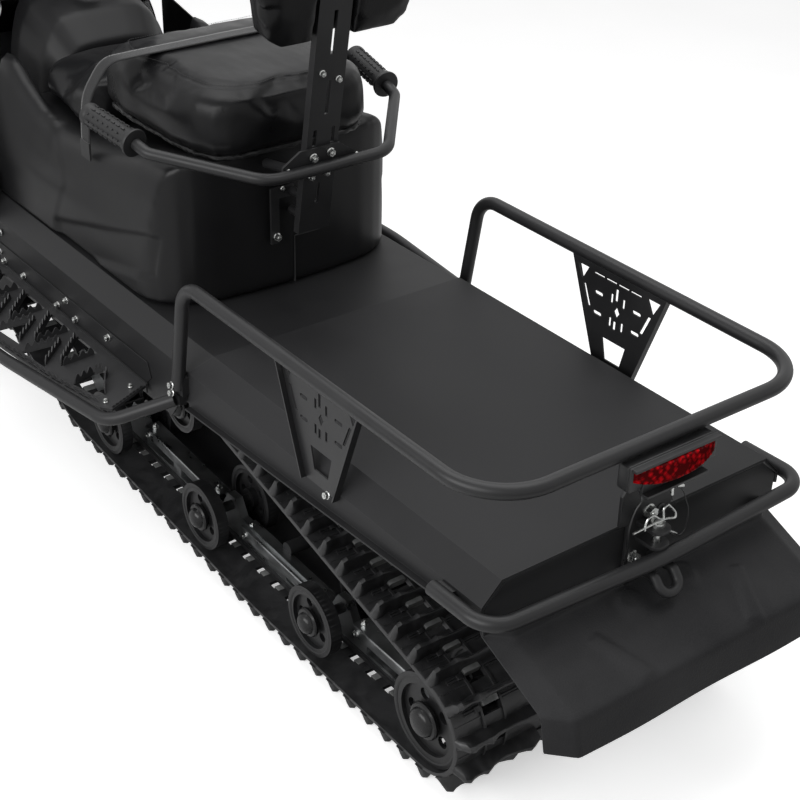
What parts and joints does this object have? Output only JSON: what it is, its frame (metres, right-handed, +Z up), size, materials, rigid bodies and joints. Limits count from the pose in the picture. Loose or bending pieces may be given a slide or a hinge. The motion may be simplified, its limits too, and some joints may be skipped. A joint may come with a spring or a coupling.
{
  "type": "utility snowmobile",
  "caption": "Long wide-track utility snowmobile with a two-seat saddle, railed cargo deck, tow hitch, tilting hood and steered skis.",
  "frame": {"origin": "on the floor, below the middle of the bounding box", "axes": "+X forward, +Y to the rider's left, +Z up"},
  "size_m": [3.176, 1.08, 1.3],
  "materials": {
    "black_sheet_metal": "matt",
    "black_powder_coat": "satin",
    "black_plastic": "matt",
    "moulded_plastic": "satin",
    "grained_plastic": "grained",
    "gloss_hood_plastic": "gloss",
    "red_lens": "gloss",
    "clear_lens": "gloss",
    "smoked_screen": "gloss",
    "bright_reflector": "polished",
    "zinc_steel": "satin",
    "black_vinyl": "gloss",
    "grip_rubber": "matt",
    "track_rubber": "matt",
    "webbing": "woven",
    "bare_aluminium": "satin",
    "wheel_plastic": "matt",
    "cast_engine": "cast",
    "ski_plastic": "satin"
  },
  "bodies": {
    "chassis": {"tunnel": "black_sheet_metal", "deck_cover": "black_sheet_metal", "rear_panel": "black_sheet_metal", "cargo_rail": "black_powder_coat", "rail_plates": "black_powder_coat", "tail_light_housing": "black_plastic", "tail_light_lens": "red_lens", "rear_bumper": "black_powder_coat", "tow_hitch": "black_powder_coat", "tow_pin": "zinc_steel", "snow_flap": "grained_plastic", "seat_base": "moulded_plastic", "passenger_seat": "black_vinyl", "driver_seat": "black_vinyl", "grab_bar": "black_powder_coat", "grab_bar_grips": "grip_rubber", "backrest_upright": "black_powder_coat", "backrest_pad": "black_vinyl", "hold_strap": "webbing", "running_boards": "black_powder_coat", "footrest_tubes": "black_powder_coat", "track": "track_rubber", "slide_rails": "bare_aluminium", "suspension_wheels": "wheel_plastic", "carrier_wheels": "wheel_plastic", "drive_axle": "wheel_plastic", "suspension_arms": "black_powder_coat", "track_dampers": "zinc_steel", "belly_pan": "moulded_plastic", "side_panels": "moulded_plastic", "fuel_tank": "moulded_plastic", "dash": "black_plastic", "engine": "cast_engine", "front_bumper": "black_powder_coat", "front_arms": "black_powder_coat", "front_dampers": "zinc_steel", "steering_bearing": "black_powder_coat"},
    "steering": {"handlebar": "black_powder_coat", "handlebar_grips": "grip_rubber"},
    "left_ski": {"ski_left": "ski_plastic", "spindle_left": "black_powder_coat"},
    "right_ski": {"ski_right": "ski_plastic", "spindle_right": "black_powder_coat"},
    "left_tie_rod": {"tie_rod_left": "zinc_steel"},
    "right_tie_rod": {"tie_rod_right": "zinc_steel"},
    "hood": {"hood": "gloss_hood_plastic", "headlight_lenses": "clear_lens", "headlight_bowls": "bright_reflector", "windshield": "smoked_screen"}
  },
  "joints": [
    {"name": "steering_turn", "type": "hinge", "parent": "chassis", "child": "steering", "pos_m": [0.72, 0, 0.54], "axis": [-0.4741, 0, 0.8805], "range_deg": [-35, 35]},
    {"name": "left_ski_turn", "type": "hinge", "parent": "chassis", "child": "left_ski", "pos_m": [0.92, 0.465, 0.095], "axis": [-0.2588, 0, 0.9659], "range_deg": [-28, 28]},
    {"name": "right_ski_turn", "type": "hinge", "parent": "chassis", "child": "right_ski", "pos_m": [0.92, -0.465, 0.095], "axis": [-0.2588, 0, 0.9659], "range_deg": [-28, 28]},
    {"name": "left_tie_rod_turn", "type": "hinge", "parent": "left_ski", "child": "left_tie_rod", "pos_m": [0.80174, 0.465, 0.17107], "axis": [-0.2588, 0, 0.9659], "range_deg": [-28, 28]},
    {"name": "right_tie_rod_turn", "type": "hinge", "parent": "right_ski", "child": "right_tie_rod", "pos_m": [0.80174, -0.465, 0.17107], "axis": [-0.2588, 0, 0.9659], "range_deg": [-28, 28]},
    {"name": "hood_tilt", "type": "hinge", "parent": "chassis", "child": "hood", "pos_m": [1.39, 0, 0.446], "axis": [0, 1, 0], "range_deg": [0, 55]}
  ],
  "couplings": [
    {"joint": "left_ski_turn", "follows": "steering_turn", "ratio": 0.8},
    {"joint": "right_ski_turn", "follows": "steering_turn", "ratio": 0.8},
    {"joint": "left_tie_rod_turn", "follows": "steering_turn", "ratio": -0.8},
    {"joint": "right_tie_rod_turn", "follows": "steering_turn", "ratio": -0.8}
  ]
}
